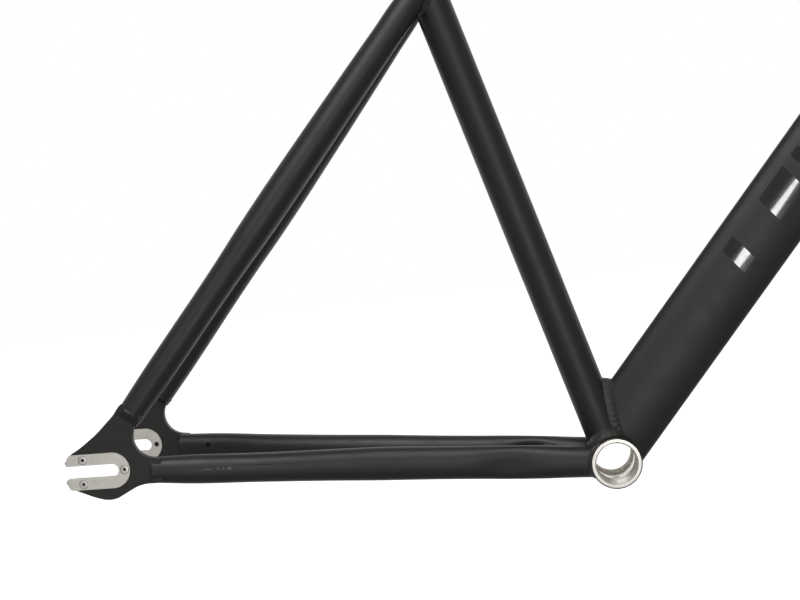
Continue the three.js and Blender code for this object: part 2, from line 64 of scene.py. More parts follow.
def superellipse(angle, power, high, wide):
    """How far up and how far out the points of a superellipse lie. A power of 2 makes an ellipse."""
    def part(wave, reach):
        return np.sign(wave) * np.abs(wave) ** (2 / power) * reach
    return part(np.cos(angle), high), part(np.sin(angle), wide)


# ---------- driving dimensions, in mm and degrees
# The origin is the centre of the bottom bracket shell; +X is forward, +Y left and +Z up.
SHELL_HALF_WIDTH = 34
SHELL_RADIUS = 21.5
SHELL_ROUNDING = 0.9
SHELL_FACE = (18.1, 20.5)  # inner and outer radius of the bare ring at each end
THREAD_RADIUS = 16.9
THREAD_PITCH = 25.4 / 24
THREAD_DEPTH = 25
THREAD_HEIGHT = 0.5
THREAD_RUNOUT = 0.9
THREAD_INSET = 1.2  # from the shell's face to the first turn
RELIEF_RADIUS = 17.8  # between the two threads
DRAIN_RADIUS = 3

SEAT_DIRECTION = in_plane(180 - 75.2)
SEAT_REARWARD = np.cross(SEAT_DIRECTION, Y_AXIS)
SEAT_TUBE_RADIUS = 15.9
SEATPOST_RADIUS = 13.6
SEATPOST_BORE_START = 95
SEAT_TUBE_LENGTH = 510
SEAT_SLIT_LENGTH = 30
SEAT_SLIT_HALF_WIDTH = 1.1

DOWN_ANGLE = 48.1
DOWN_OFFSET = 9  # the axis passes this far above the shell's
DOWN_START = 4
DOWN_PAST_HEAD = 27
DOWN_HALF_HEIGHT = 31.2
DOWN_HALF_WIDTH = 11.8

HEAD_DIRECTION = in_plane(180 - 74)
HEAD_FOOT = np.array([424.3, 0, 407.5])
HEAD_LENGTH = 138
HEAD_RADIUS = 24.5
HEAD_WAIST_RADIUS = 23
HEADSET_RADIUS = 20.9
HEADSET_DEPTH = 12
STEERER_ROOM_RADIUS = 18.5

TOP_ON_SEAT = 470
TOP_ON_HEAD = 112
TOP_HALF_HEIGHT = 18.5
TOP_HALF_WIDTH = 15.5
TOP_SQUARE = 2.2

STAY_SQUARE = 2.2
STAY_DROP = 0.1177  # the chainstay's axis falls by this towards the shell
VENT_BACK = 355.6
VENT_RADIUS = 2
CHAINRING_DIMPLE_BACK = 90  # in the right chainstay's outer face
TYRE_DIMPLE_BACK = 69  # in both chainstays' inner faces
BRIDGE_RADIUS = 7
CHAINSTAY_BRIDGE_BACK = 54
SEATSTAY_BRIDGE_ALONG = 312
SEATSTAY_FOOT = (-391.7, 58.5, 97.2)
SEATSTAY_HEAD = (-109.4, 14.6, 419)
SEATSTAY_LAP = 3.5  # how far the stay's tube runs on over the plate, past its lower end

SLOT_TILT = 2.8
SLOT_END = (-415, 49.6)
SLOT_HALF_WIDTH = 5.4
SLOT_LENGTH = 38.6
DROPOUT_INSIDE = 60
DROPOUT_OUTSIDE = 67
INSERT_THICKNESS = 1.6
INSERT_HALF_HEIGHT = 14.9
SCREW_HEAD_RADIUS = 3.35
SCREW_SHANK_RADIUS = 1.9
SCREW_LENGTH = 4.6
# Names, distance along the slot from its closed end, and height over its middle.
SCREW_PLACES = (("upper", 24.2, 9.9), ("lower", 25, -10.2), ("front", -10.2, 0))

COLLAR_AT = 498
COLLAR_HEIGHT = 13
COLLAR_RADIUS = 19.6
CLAMP_AT = 24.5

EMBED = 0.5  # how far one tube's end goes into the tube that it is welded to


# ---------- tubes
def smooth(knots, values, at):
    """Cubic interpolation through the knots, with slopes from each knot's neighbours."""
    knots, values = np.asarray(knots, float), np.asarray(values, float)
    slopes = np.gradient(values, knots, axis=0)
    left = np.clip(np.searchsorted(knots, at, side="right") - 1, 0, len(knots) - 2)
    span = knots[left + 1] - knots[left]
    t = (at - knots[left]) / span
    if values.ndim == 2:
        t, span = t[:, None], span[:, None]
    start, end = values[left], values[left + 1]
    return (
        (1 + 2 * t) * (1 - t) ** 2 * start
        + t * (1 - t) ** 2 * span * slopes[left]
        + t**2 * (3 - 2 * t) * end
        + t**2 * (t - 1) * span * slopes[left + 1]
    )


class Tube:
    """Superelliptic sections along a path: centre, half height and half width. square is their power.

    Square to the path, across faces left, or forwards on a tube that runs sideways. upright faces down on
    a tube that runs forwards, and up on one that runs backwards.
    """

    def __init__(self, centres, high, wide, square=2.0):
        self.centres = np.asarray(centres, float)
        self.high = np.broadcast_to(np.asarray(high, float), len(self.centres))
        self.wide = np.broadcast_to(np.asarray(wide, float), len(self.centres))
        self.square = square
        steps = np.linalg.norm(np.diff(self.centres, axis=0), axis=1)
        self.distance = np.concatenate([[0], np.cumsum(steps)])
        self.length = self.distance[-1]
        self.along = unit(np.gradient(self.centres, self.distance, axis=0))
        sideways = X_AXIS if abs(self.along[0, 1]) > 0.9 else Y_AXIS
        self.across = unit(sideways - (self.along @ sideways)[:, None] * self.along)
        self.upright = np.cross(self.across, self.along)

    def section(self, distance):
        """Centre, upright and across directions, half height and half width at each distance."""
        def pick(values):
            if values.ndim == 1:
                return np.interp(distance, self.distance, values)
            return np.stack([np.interp(distance, self.distance, column) for column in values.T], axis=-1)
        return pick(self.centres), pick(self.upright), pick(self.across), pick(self.high), pick(self.wide)

    def at(self, distance, angle, grow=0.0):
        """Points of the surface; angle 0 is where upright points, and a quarter turn where across does."""
        centre, upright, across, high, wide = self.section(distance)
        up, out = superellipse(angle, self.square, high + grow, wide + grow)
        return centre + up[..., None] * upright + out[..., None] * across

    def clearance(self, points):
        """How far points lie outside the surface, measured away from the path; negative inside."""
        if np.ptp(self.along, axis=0).max() < 1e-6:
            nearest = np.clip((points - self.centres[0]) @ self.along[0], 0, self.length)
        else:
            gaps = np.linalg.norm(points[..., None, :] - self.centres, axis=-1)
            nearest = self.distance[np.argmin(gaps, axis=-1)]
        centre, upright, across, high, wide = self.section(nearest)
        offset = points - centre
        up = (offset * upright).sum(-1)
        out = (offset * across).sum(-1)
        ratio = (np.abs(up / high) ** self.square + np.abs(out / wide) ** self.square) ** (1 / self.square)
        return np.hypot(up, out) * (1 - 1 / np.maximum(ratio, 1e-6))


def straight(start, end, high, wide=None, square=2.0, step=6.0):
    start, end = np.asarray(start, float), np.asarray(end, float)
    count = max(3, int(np.linalg.norm(end - start) / step) + 1)
    t = np.linspace(0, 1, count)[:, None]
    return Tube(start + t * (end - start), high, high if wide is None else wide, square)


def from_rows(place, rows, square):
    """A tube from rows of (distance, then what place() needs, half height, half width), made smooth."""
    rows = np.asarray(rows, float)
    count = int((rows[-1, 0] - rows[0, 0]) / ROW_STEP) + 1
    at = np.linspace(rows[0, 0], rows[-1, 0], count)
    values = smooth(rows[:, 0], rows[:, 1:], at)
    centres = np.array([place(distance, *row[:-2]) for distance, row in zip(at, values)])
    return Tube(centres, values[:, -2], values[:, -1], square)


def on_seat(distance):
    return SEAT_DIRECTION * distance


def on_head(distance):
    return HEAD_FOOT + HEAD_DIRECTION * distance


ROW_STEP = 3.0
# Rows: distance behind the shell's axis, distance from the mid-plane, half height, half width.
CHAINSTAY_ROWS = (
    (0, 23.6, 13, 9.6),
    (33, 24.5, 13.3, 9.4),
    (60, 25.3, 14, 8.8),
    (88, 26.4, 14.2, 8.4),
    (118, 27.3, 14, 8.8),
    (150, 28.5, 14, 9.2),
    (198, 32.5, 14.1, 9.6),
    (235, 38, 13.3, 9.8),
    (298, 49, 12.2, 9.8),
    (352, 56.8, 12, 9.3),
    (382, 60, 10.8, 8.4),
)
# Rows: distance up the stay from its lower end, half height, half width.
SEATSTAY_ROWS = (
    (-SEATSTAY_LAP, 10.9, 10.9),
    (30, 11.7, 11.7),
    (60, 11.9, 11.9),
    (108, 11.9, 11.9),
    (142, 12.4, 12.4),
    (175, 13.4, 13.4),
    (208, 13.8, 13.8),
    (260, 13.6, 13.4),
    (322, 13, 12.4),
    (370, 12.3, 11.2),
    (412, 11.2, 9.6),
    (422, 9.6, 8.2),
    (427, 6.4, 5.4),
)


def chainstay_tube(side):
    def place(back, out):
        return (-back, side * out, back * STAY_DROP)
    return from_rows(place, CHAINSTAY_ROWS, STAY_SQUARE)


def seatstay_tube(side):
    foot = np.array(SEATSTAY_FOOT) * (1, side, 1)
    head = np.array(SEATSTAY_HEAD) * (1, side, 1)
    direction = unit(head - foot)
    return from_rows(lambda distance: foot + direction * distance, SEATSTAY_ROWS, 2.0)


def down_tube_path():
    """Both ends of the down tube's axis: inside the shell, and past the head tube's foot."""
    direction, upwards = in_plane(DOWN_ANGLE), in_plane(DOWN_ANGLE + 90)
    reach = on_head(0) @ direction + DOWN_PAST_HEAD
    return upwards * DOWN_OFFSET + direction * DOWN_START, upwards * DOWN_OFFSET + direction * reach


seat = straight(on_seat(0), on_seat(SEAT_TUBE_LENGTH), SEAT_TUBE_RADIUS)
down = straight(*down_tube_path(), DOWN_HALF_HEIGHT, DOWN_HALF_WIDTH)
top = straight(on_seat(TOP_ON_SEAT), on_head(TOP_ON_HEAD), TOP_HALF_HEIGHT, TOP_HALF_WIDTH, TOP_SQUARE)
head = straight(on_head(0), on_head(HEAD_LENGTH), HEAD_RADIUS)
shell = straight((0, -SHELL_HALF_WIDTH, 0), (0, SHELL_HALF_WIDTH, 0), SHELL_RADIUS)
chainstays = {name: chainstay_tube(side) for name, side in SIDES}
seatstays = {name: seatstay_tube(side) for name, side in SIDES}


# ---------- meshes
def grid_faces(rows, columns, closed):
    """Quads of a grid whose columns wrap round; rows wrap too when closed."""
    row = np.arange(rows if closed else rows - 1)[:, None]
    column = np.arange(columns)[None, :]
    after, beside = (row + 1) % rows * columns, (column + 1) % columns
    row = row * columns
    corners = (row + column, row + beside, after + beside, after + column)
    return np.stack(np.broadcast_arrays(*corners), axis=-1).reshape(-1, 4).tolist()


def add_object(name, data):
    made = bpy.data.objects.new(name, data)
    bpy.context.scene.collection.objects.link(made)
    return made


def new_object(name, points, faces):
    mesh = bpy.data.meshes.new(name)
    mesh.from_pydata((np.asarray(points) * MM).tolist(), [], faces)
    fix = bmesh.new()
    fix.from_mesh(mesh)
    bmesh.ops.recalc_face_normals(fix, faces=fix.faces)
    fix.to_mesh(mesh)
    fix.free()
    return add_object(name, mesh)


def loft(name, rings, closed=False):
    """A skin through rings of points. The end rings are capped, unless the rings close on themselves."""
    rings = np.asarray(rings)
    rows, columns = rings.shape[:2]
    faces = grid_faces(rows, columns, closed)
    if not closed:
        faces.append(list(range(columns)))
        faces.append(list(range((rows - 1) * columns, rows * columns)))
    return new_object(name, rings.reshape(-1, 3), faces)


def tube_object(name, tube, sides=96, round_end=0.0):
    """A tube's skin. A far end that isn't hidden in another piece is rounded over, by round_end mm."""
    rings = list(tube.at(tube.distance[:, None], around(sides)))
    if round_end:
        centre, edge = tube.centres[-1], rings[-1]
        radius = np.linalg.norm(edge - centre, axis=1, keepdims=True)
        for turn in np.linspace(0, math.pi / 2, 7)[1:]:
            shrink = 1 - round_end * (1 - math.cos(turn)) / radius
            rings.append(centre + (edge - centre) * shrink + tube.along[-1] * round_end * math.sin(turn))
    return loft(name, rings)


def turned_rings(rows, sides):
    """Rings round +Z, from rows of (one radius, or a radius for each side, and the height)."""
    angle = around(sides)
    return [np.stack([radius * np.cos(angle), radius * np.sin(angle), np.full(sides, height)], axis=1)
            for radius, height in rows]


def place_rings(rings, origin, axis):
    """Turns rings made along +Z so that they run along the axis, from the origin."""
    axis = unit(axis)
    sideways = unit(np.cross(axis, X_AXIS))
    basis = np.stack([sideways, np.cross(axis, sideways), axis])
    return [np.asarray(origin) + ring @ basis for ring in rings]


def bar(start, end, radius, sides=96):
    return tube_object("cutter", straight(start, end, radius), sides)


def prism(name, outline, low, high):
    """A plate between two distances from the mid-plane, with a side-view outline of (x, z) points."""
    outline = np.asarray(outline, float)
    rings = [np.stack([outline[:, 0], np.full(len(outline), y), outline[:, 1]], axis=1) for y in (low, high)]
    return loft(name, rings)


def apply_modifiers(made):
    bpy.context.view_layer.update()
    evaluated = made.evaluated_get(bpy.context.evaluated_depsgraph_get())
    mesh = bpy.data.meshes.new_from_object(evaluated)
    made.modifiers.clear()
    old, made.data = made.data, mesh
    bpy.data.meshes.remove(old)
    return made


def cut(made, *cutters):
    for cutter in cutters:
        modifier = made.modifiers.new("cut", "BOOLEAN")
        modifier.operation = "DIFFERENCE"
        modifier.solver = "EXACT"
        modifier.object = cutter
    apply_modifiers(made)
    for cutter in cutters:
        bpy.data.objects.remove(cutter)


def keep_largest(made):
    """Deletes the loose bits that a cut leaves, such as a tube's end inside another tube's bore."""
    work = bmesh.new()
    work.from_mesh(made.data)
    unused, islands = set(work.verts), []
    while unused:
        front = [unused.pop()]
        island = set(front)
        while front:
            near = {vertex for edge in front.pop().link_edges for vertex in edge.verts} - island
            island |= near
            unused -= near
            front.extend(near)
        islands.append(island)
    islands.sort(key=len)
    for island in islands[:-1]:
        bmesh.ops.delete(work, geom=list(island), context="VERTS")
    work.to_mesh(made.data)
    work.free()


def bevel(made, width, segments, angle):
    modifier = made.modifiers.new("bevel", "BEVEL")
    modifier.width = width * MM
    modifier.segments = segments
    modifier.limit_method = "ANGLE"
    modifier.angle_limit = math.radians(angle)
    modifier.use_clamp_overlap = True
    apply_modifiers(made)


def finish_piece(made, *materials, nodes, slot="frame_paint", body="frame", crease=40, flat=False):
    """Shades a piece, gives it its materials, and lets it stand for its CAD nodes. flat keeps plates flat."""
    mesh = made.data
    mesh.polygons.foreach_set("use_smooth", [True] * len(mesh.polygons))
    mesh.set_sharp_from_angle(angle=math.radians(crease))
    if flat:
        made.modifiers.new("weighted", "WEIGHTED_NORMAL").keep_sharp = True
        mesh = apply_modifiers(made).data
    mesh.materials.clear()
    for material in materials:
        mesh.materials.append(material)
    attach(made, body)
    if nodes:
        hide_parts(*nodes)


# ---------- materials
NOISE_RANGE = (0.3, 0.7)  # most of a noise's values lie in it


class Shader:
    """A principled material with a few helpers for its nodes."""

    def __init__(self, name, **inputs):
        self.material = bpy.data.materials.new(name)
        self.material.use_nodes = True
        self.nodes = self.material.node_tree.nodes
        self.links = self.material.node_tree.links
        self.surface = self.nodes["Principled BSDF"]
        for label, value in inputs.items():
            self.surface.inputs[label.replace("_", " ")].default_value = value
        self.place = self.nodes.new("ShaderNodeTexCoord").outputs["Object"]

    def node(self, kind, **settings):
        made = self.nodes.new(kind)
        for label, value in settings.items():
            if hasattr(made, label):
                setattr(made, label, value)
            else:
                made.inputs[label.replace("_", " ")].default_value = value
        return made

    def noise(self, scale, detail=3.0, stretch=None):
        made = self.node("ShaderNodeTexNoise", Scale=scale, Detail=detail, Roughness=0.55)
        place = self.place
        if stretch is not None:
            mapping = self.node("ShaderNodeMapping", Scale=stretch)
            self.links.new(place, mapping.inputs["Vector"])
            place = mapping.outputs["Vector"]
        self.links.new(place, made.inputs["Vector"])
        return made.outputs["Fac"]

    def colours(self, value, dark, light):
        made = self.node("ShaderNodeValToRGB")
        for element, position, colour in zip(made.color_ramp.elements, NOISE_RANGE, (dark, light)):
            element.position = position
            element.color = (*colour, 1)
        self.links.new(value, made.inputs["Fac"])
        self.links.new(made.outputs["Color"], self.surface.inputs["Base Color"])

    def rough(self, value, low, high):
        made = self.node("ShaderNodeMapRange", From_Min=NOISE_RANGE[0], From_Max=NOISE_RANGE[1], To_Min=low,
                         To_Max=high)
        self.links.new(value, made.inputs["Value"])
        self.links.new(made.outputs["Result"], self.surface.inputs["Roughness"])

    def bumps(self, *layers):
        """Layers of (height value, depth in mm), from the coarsest."""
        normal = None
        for value, depth in layers:
            made = self.node("ShaderNodeBump", Strength=1.0, Distance=depth * MM)
            self.links.new(value, made.inputs["Height"])
            if normal:
                self.links.new(normal, made.inputs["Normal"])
            normal = made.outputs["Normal"]
        self.links.new(normal, self.surface.inputs["Normal"])

    def rings(self, pitch):
        """A height that rises and falls outwards from the shell's axis and along it, as a lathe leaves it."""
        parts = self.node("ShaderNodeSeparateXYZ")
        self.links.new(self.place, parts.inputs["Vector"])
        flat = self.node("ShaderNodeCombineXYZ")
        for label in "XZ":
            self.links.new(parts.outputs[label], flat.inputs[label])
        length = self.node("ShaderNodeVectorMath", operation="LENGTH")
        self.links.new(flat.outputs["Vector"], length.inputs[0])
        reach = self.node("ShaderNodeMath", operation="ADD")
        self.links.new(length.outputs["Value"], reach.inputs[0])
        self.links.new(parts.outputs["Y"], reach.inputs[1])
        turns = self.node("ShaderNodeMath", operation="MULTIPLY")
        turns.inputs[1].default_value = 2 * math.pi / (pitch * MM)
        self.links.new(reach.outputs["Value"], turns.inputs[0])
        wave = self.node("ShaderNodeMath", operation="SINE")
        self.links.new(turns.outputs["Value"], wave.inputs[0])
        return wave.outputs["Value"]


def noise_material(name, tint, roughness, *bumps, **inputs):
    """tint: scale, detail, dark, light. roughness: scale, detail, low, high. A bump: scale, detail, mm."""
    shader = Shader(name, **inputs)
    shader.colours(shader.noise(*tint[:2]), *tint[2:])
    shader.rough(shader.noise(*roughness[:2]), *roughness[2:])
    shader.bumps(*[(shader.noise(*bump[:2]), bump[2]) for bump in bumps])
    return shader.material


def machined_aluminium():
    shader = Shader("machined_aluminium", Metallic=1.0)
    shader.colours(shader.noise(90, 4), (0.78, 0.75, 0.69), (0.86, 0.84, 0.79))
    shader.rough(shader.noise(300, 3), 0.34, 0.40)
    shader.bumps((shader.rings(1.1), 0.0015))
    return shader.material


def steel_plate():
    """Steel with fine lines along it, as a belt leaves them."""
    shader = Shader("blasted_steel", Metallic=1.0)
    shader.colours(shader.noise(120, 4), (0.82, 0.78, 0.72), (0.93, 0.89, 0.84))
    shader.rough(shader.noise(900, 3), 0.34, 0.48)
    shader.bumps((shader.noise(1, 3, stretch=(60, 1, 1600)), 0.002))
    return shader.material


PAINT = noise_material(
    "matte_black_paint", (14, 4, (0.0105, 0.0102, 0.0088), (0.0140, 0.0137, 0.0122)), (60, 5, 0.42, 0.50),
    (420, 2, 0.02), (2600, 2, 0.010), Specular_IOR_Level=0.5)
# The same paint, rougher, on the weld beads; its paler colour is a painted highlight for the light they
# catch.
BEAD_PAINT_WITH_PAINTED_HIGHLIGHT = noise_material(
    "matte_black_paint_on_welds_painted_highlight", (220, 4, (0.020, 0.0195, 0.0175), (0.034, 0.033, 0.031)),
    (300, 4, 0.46, 0.60), (700, 3, 0.06), (2600, 2, 0.012), Specular_IOR_Level=0.5)
GLOSS = noise_material(
    "gloss_black_graphic", (30, 3, (0.006, 0.0065, 0.0062), (0.010, 0.0105, 0.0100)), (200, 3, 0.12, 0.2),
    (260, 2, 0.006), Coat_Weight=1.0, Coat_Roughness=0.05)
MACHINED = machined_aluminium()
STEEL = steel_plate()
# Black anodising, on the seat collar; the insert screws' sockets take it too, as painted shade in their
# recesses.
BLACK_ANODISED_AND_SOCKET_SHADE = noise_material(
    "black_anodised", (200, 3, (0.018, 0.018, 0.019), (0.030, 0.030, 0.032)), (1200, 3, 0.3, 0.42),
    (2400, 2, 0.006), Metallic=0.6)
SCREW_STEEL = noise_material(
    "screw_steel", (500, 3, (0.42, 0.40, 0.37), (0.58, 0.56, 0.52)), (1500, 3, 0.28, 0.42),
    (3000, 2, 0.004), Metallic=1.0)


# ---------- weld beads
def zero_lines(values):
    """Lines of (row, column) points where a grid crosses zero, and which are closed. Columns wrap round."""
    rows, columns = values.shape
    inside = values < 0
    links, places = {}, {}

    def crossing(row, column, down):
        """The key of the place where an edge of the grid crosses zero, or None."""
        column %= columns
        here = values[row, column]
        there = values[row + 1, column] if down else values[row, (column + 1) % columns]
        if (here < 0) == (there < 0):
            return None
        part = here / (here - there)
        places[row, column, down] = (row + part, column) if down else (row, column + part)
        return row, column, down

    beside = np.roll(inside, -1, axis=1)
    mixed = (inside[:-1] != beside[:-1]) | (inside[:-1] != inside[1:]) | (inside[:-1] != beside[1:])
    for row, column in np.argwhere(mixed):
        edges = ((row, column, False), (row, column + 1, True), (row + 1, column, False), (row, column, True))
        found = [key for key in (crossing(*edge) for edge in edges) if key]
        for first, second in zip(found[::2], found[1::2]):
            links.setdefault(first, []).append(second)
            links.setdefault(second, []).append(first)
    lines = []
    ends = [key for key, others in links.items() if len(others) == 1]
    unused = set(links)
    for start in ends + sorted(links):
        if start not in unused:
            continue
        line, key = [], start
        while key is not None:
            unused.discard(key)
            line.append(places[key])
            key = next((other for other in links[key] if other in unused), None)
        lines.append((np.array(line), start not in ends))
    return lines


def gradient(field, points):
    """The direction in which a clearance grows, square to the surface."""
    step = 0.05
    shifts = np.eye(3) * step
    return unit(np.stack([field(points + shift) - field(points - shift) for shift in shifts], axis=-1))


def settle(field, points):
    """Moves points onto the surface where the field is zero."""
    for _ in range(4):
        points = points - field(points)[:, None] * gradient(field, points)
    return points


def resample(points, closed, step):
    """Evenly spaced points along a line, and their distances along it."""
    path = np.vstack([points, points[:1]]) if closed else points
    distance = np.concatenate([[0], np.cumsum(np.linalg.norm(np.diff(path, axis=0), axis=1))])
    count = max(8, int(round(distance[-1] / step)))
    at = np.linspace(0, distance[-1], count, endpoint=not closed)
    return np.stack([np.interp(at, distance, column) for column in path.T], axis=-1), at


def soften(values, closed, passes):
    """Evens out values along a line; the ends of an open line stay."""
    for _ in range(passes):
        if closed:
            values = (np.roll(values, 1, axis=0) + 2 * values + np.roll(values, -1, axis=0)) / 4
        else:
            inner = (values[:-2] + 2 * values[1:-1] + values[2:]) / 4
            values = np.concatenate([values[:1], inner, values[-1:]])
    return values


BEAD_STEP = 0.4
BEAD_PITCH = 5.0  # from one ripple to the next
BEAD_POWER = 0.6  # under 1 makes the ripples full, with narrow grooves
BEAD_TAPER = 2.5  # the length over which an open bead's end runs out
BEAD_SINK = 0.06  # how far the toes lie inside the tubes
BEAD_ROOT = 1.4  # how deep the hidden root lies
BEAD_RIPPLE = 0.45  # a usual ripple's height


def bead_rings(line, closed, branch, trunk, width, ripple):
    """Cross-sections of a bead of one face width along the line where two surfaces meet.

    corner is the angle between the surfaces, and a leg the distance from their line to the toe on each.
    """
    points, distance = resample(line, closed, BEAD_STEP)
    points = soften(points, closed, 10)
    tangent = np.roll(points, -1, axis=0) - np.roll(points, 1, axis=0)
    if not closed:
        tangent = np.gradient(points, axis=0)
    tangent = unit(soften(tangent, closed, 4))
    normal_b, normal_t = gradient(branch, points), gradient(trunk, points)
    toward_b, toward_t = np.cross(tangent, normal_b), np.cross(tangent, normal_t)
    toward_b *= np.sign((toward_b * normal_t).sum(-1, keepdims=True))
    toward_t *= np.sign((toward_t * normal_b).sum(-1, keepdims=True))
    corner = np.arccos(np.clip((toward_b * toward_t).sum(-1), -1, 1))
    leg = np.minimum(width / (2 * np.sin(np.maximum(corner, 0.3) / 2)), 1.05 * width)
    leg = soften(leg, closed, 12)[:, None]
    fade = np.ones(len(points))
    if not closed:
        run = np.minimum(distance, distance[-1] - distance)
        fade = np.sqrt(np.clip(run / BEAD_TAPER, 0, 1))
    leg = leg * (0.35 + 0.65 * fade[:, None])
    toe_b = settle(branch, points + toward_b * leg)
    toe_t = settle(trunk, points + toward_t * leg)
    outward = unit(soften(unit(normal_b + normal_t), closed, 6))
    wander = 0.5 * np.sin(distance / 9.0) + 0.3 * np.sin(distance / 4.3 + 1.0)
    part = distance / distance[-1]
    beat = part * round(distance[-1] / BEAD_PITCH) + 0.25 * wander * np.sin(math.pi * part)
    across = np.linspace(0, 1, 11)[None, :]
    phase = beat[:, None] + 0.55 * (2 * across - 1) ** 2
    scallop = np.abs(np.sin(math.pi * phase)) ** BEAD_POWER
    window = np.sin(math.pi * across) ** BEAD_POWER
    open_corner = np.clip((corner / math.pi - 0.35) / 0.65, 0, 1)[:, None]
    uneven = 1 + 0.35 * np.sin(distance / 13.0 + 0.5)[:, None]
    crown = (0.05 + 0.3 * ripple) * width * open_corner * np.sin(math.pi * across)
    crown += ripple * uneven * (scallop - 0.75) * window
    crown = crown * fade[:, None] - BEAD_SINK
    flat = toe_t[:, None, :] + (toe_b - toe_t)[:, None, :] * across[..., None]
    face = flat + outward[:, None, :] * crown[..., None]
    root = (points - outward * BEAD_ROOT)[:, None, :]
    return np.concatenate([face, root], axis=1)


def contour(branch, trunk, start, end, step=0.8):
    """The longest line where a branch tube's surface meets a trunk's, and whether it is closed."""
    distance = np.arange(start, end, step)
    angle = around(240)
    values = trunk(branch.at(distance[:, None], angle))
    line, closed = max(zero_lines(values), key=lambda entry: len(entry[0]))
    along = np.interp(line[:, 0], np.arange(len(distance)), distance)
    return branch.at(along, line[:, 1] * angle[1]), closed


def joined(*trunks):
    """The clearance from the nearest of several tubes."""
    return lambda points: np.min([trunk.clearance(points) for trunk in trunks], axis=0)


def weld(node, line, closed, branch, trunk, width, ripple):
    """A bead's piece, which stands for the node. branch and trunk give the clearance from each surface."""
    made = loft(f"{node}_bead", bead_rings(line, closed, branch, trunk, width, ripple), closed)
    # The bead takes the paler paint, whose colour is a painted highlight.
    finish_piece(made, BEAD_PAINT_WITH_PAINTED_HIGHLIGHT, nodes=[node], crease=60)


def tube_weld(node, branch, trunk, start, end, width, ripple=BEAD_RIPPLE, step=0.8):
    """A branch tube's bead onto a trunk, met between two distances along the branch."""
    line, closed = contour(branch, trunk, start, end, step)
    weld(node, line, closed, branch.clearance, trunk, width, ripple)


def runs(labels):
    """Index lists of the stretches of a closed line that share a label, longest first."""
    turns = [i for i in range(len(labels)) if labels[i] != labels[i - 1]]
    if not turns:
        return [(labels[0], np.arange(len(labels)))]
    found = []
    for start, end in zip(turns, turns[1:] + [turns[0] + len(labels)]):
        found.append((labels[start], np.arange(start, end) % len(labels)))
    return sorted(found, key=lambda entry: -len(entry[1]))


def split_weld(branch, parts, start, end):
    """A branch tube's bead onto several trunks, one piece for each (node, trunk, width, ripple)."""
    trunk = joined(*[part[1] for part in parts])
    line, closed = contour(branch, trunk, start, end)
    gaps = np.array([part[1].clearance(line) for part in parts])
    labels = np.argmin(np.abs(gaps), axis=0).tolist()
    done = set()
    for label, indices in runs(labels):
        if label in done:
            continue
        done.add(label)
        node, _, width, ripple = parts[label]
        whole = len(indices) == len(line)
        weld(node, line[indices], closed and whole, branch.clearance, trunk, width, ripple)


# ---------- bottom bracket shell
def thread_radius(along, angle):
    """The wall's radius in a threaded stretch: a helix of 24 turns to the inch, which starts at its mouth."""
    turn = (along / THREAD_PITCH + angle / (2 * math.pi)) % 1
    start = min((SHELL_HALF_WIDTH - THREAD_INSET - abs(along)) / THREAD_PITCH, 1)
    return THREAD_RADIUS + start * THREAD_HEIGHT * (1 - np.abs(2 * turn - 1) ** 1.3)


def make_shell():
    sides = 128
    angle = around(sides)
    half = SHELL_HALF_WIDTH
    inner_face, outer_face = SHELL_FACE
    edge = SHELL_RADIUS - outer_face
    rounding = [(outer_face + edge * math.sin(t), half - SHELL_ROUNDING * (1 - math.cos(t)))
                for t in np.linspace(0, math.pi / 2, 6)]
    thread_end = half - THREAD_DEPTH
    thread = np.linspace(half - THREAD_INSET, thread_end, int(THREAD_DEPTH / THREAD_PITCH * 9))
    relief = thread_end - THREAD_RUNOUT
    rows = rounding + [(r, -y) for r, y in reversed(rounding)] + [(inner_face, -half)]
    rows += [(thread_radius(-y, angle), -y) for y in thread]
    rows += [(RELIEF_RADIUS, -relief), (RELIEF_RADIUS, 0), (RELIEF_RADIUS, relief)]
    rows += [(thread_radius(y, angle), y) for y in thread[::-1]]
    rows += [(inner_face, half)]
    rings = [ring[:, [0, 2, 1]] for ring in turned_rings(rows, sides)]
    made = loft("bb_shell_threaded", rings, closed=True)
    cut(made, bar((0, 0, -30), (0, 0, -12), DRAIN_RADIUS, 48))
    finish_piece(made, MACHINED, PAINT, nodes=["bb_shell"], slot="machined_aluminium", crease=30)
    for face in made.data.polygons:
        face.material_index = int(math.hypot(face.center.x, face.center.z) > (outer_face - 0.05) * MM)


# ---------- main tubes
def seat_cutter():
    return bar(on_seat(-10), on_seat(SEAT_TUBE_LENGTH + 20), SEAT_TUBE_RADIUS - EMBED)


def shell_cutter():
    return bar((0, -40, 0), (0, 40, 0), SHELL_RADIUS - EMBED, 128)


def head_cutter():
    return bar(on_head(-40), on_head(HEAD_LENGTH + 40), HEAD_WAIST_RADIUS - EMBED)


def make_seat_tube():
    """The seat tube, with the seatpost's bore, and a slit at its rear that ends in a round hole."""
    made = tube_object("seat_tube_painted", seat)
    rear = SEAT_REARWARD * 16  # out to the tube's surface
    slit_foot = on_seat(SEAT_TUBE_LENGTH - SEAT_SLIT_LENGTH) + rear
    slit = straight(slit_foot, on_seat(SEAT_TUBE_LENGTH + 4) + rear, 9, SEAT_SLIT_HALF_WIDTH, square=8.0)
    bore = bar(on_seat(SEATPOST_BORE_START), on_seat(SEAT_TUBE_LENGTH + 5), SEATPOST_RADIUS)
    end_hole = bar(slit_foot - rear * 0.4, slit_foot + rear * 0.4, 2 * SEAT_SLIT_HALF_WIDTH, 32)
    cut(made, shell_cutter(), bore, tube_object("cutter", slit, 32), end_hole)
    bevel(made, 0.35, 2, 60)
    finish_piece(made, PAINT, nodes=["seat_tube"], crease=35)


def finish_tube(made, node, *cutters):
    """Cuts a tube's neighbours and holes out of it, and paints it."""
    cut(made, *cutters)
    keep_largest(made)
    finish_piece(made, PAINT, nodes=[node])


def make_down_tube():
    made = tube_object("down_tube_painted", down, 128)
    finish_tube(made, "down_tube", shell_cutter(), seat_cutter(), head_cutter())


def make_top_tube():
    finish_tube(tube_object("top_tube_painted", top, 112), "top_tube", seat_cutter(), head_cutter())


